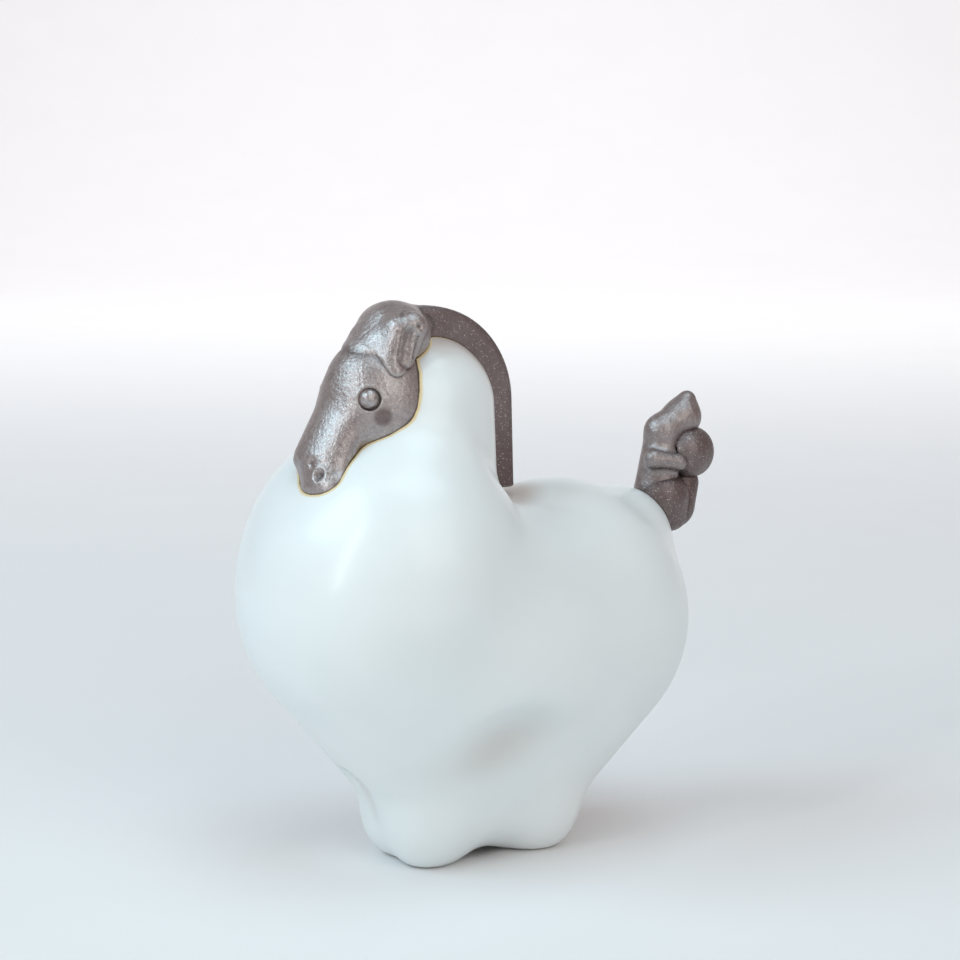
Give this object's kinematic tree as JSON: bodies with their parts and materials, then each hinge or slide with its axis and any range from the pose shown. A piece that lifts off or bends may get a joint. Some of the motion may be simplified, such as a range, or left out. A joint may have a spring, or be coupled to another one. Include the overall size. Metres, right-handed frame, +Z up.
{
  "type": "tea pet",
  "caption": "Plump hollow ceramic horse tea pet with an applied dark head, forelock, ears, mane strip and coiled tail, standing on short merged feet.",
  "frame": {"origin": "centre of the overall bounding box in plan, on the plane the feet stand on", "axes": "+Z up, -X the way the horse faces, -Y its left side, which is the side in the picture"},
  "size_m": [0.0748, 0.0436, 0.0776],
  "materials": {
    "white_glaze": "satin white glaze, faintly cool",
    "iron_glaze": "dark brown iron glaze with a soft metallic sheen and fine pale speckles"
  },
  "bodies": {
    "root": {"body_shell": "white_glaze", "head": "iron_glaze", "forelock": "iron_glaze", "left_ear": "iron_glaze", "right_ear": "iron_glaze", "left_eye": "iron_glaze", "right_eye": "iron_glaze", "mane": "iron_glaze", "tail_main_lock": "iron_glaze", "tail_curl_lock": "iron_glaze", "tail_lower_lock": "iron_glaze", "tail_rear_lock": "iron_glaze", "tail_front_lock": "iron_glaze"}
  },
  "joints": []
}
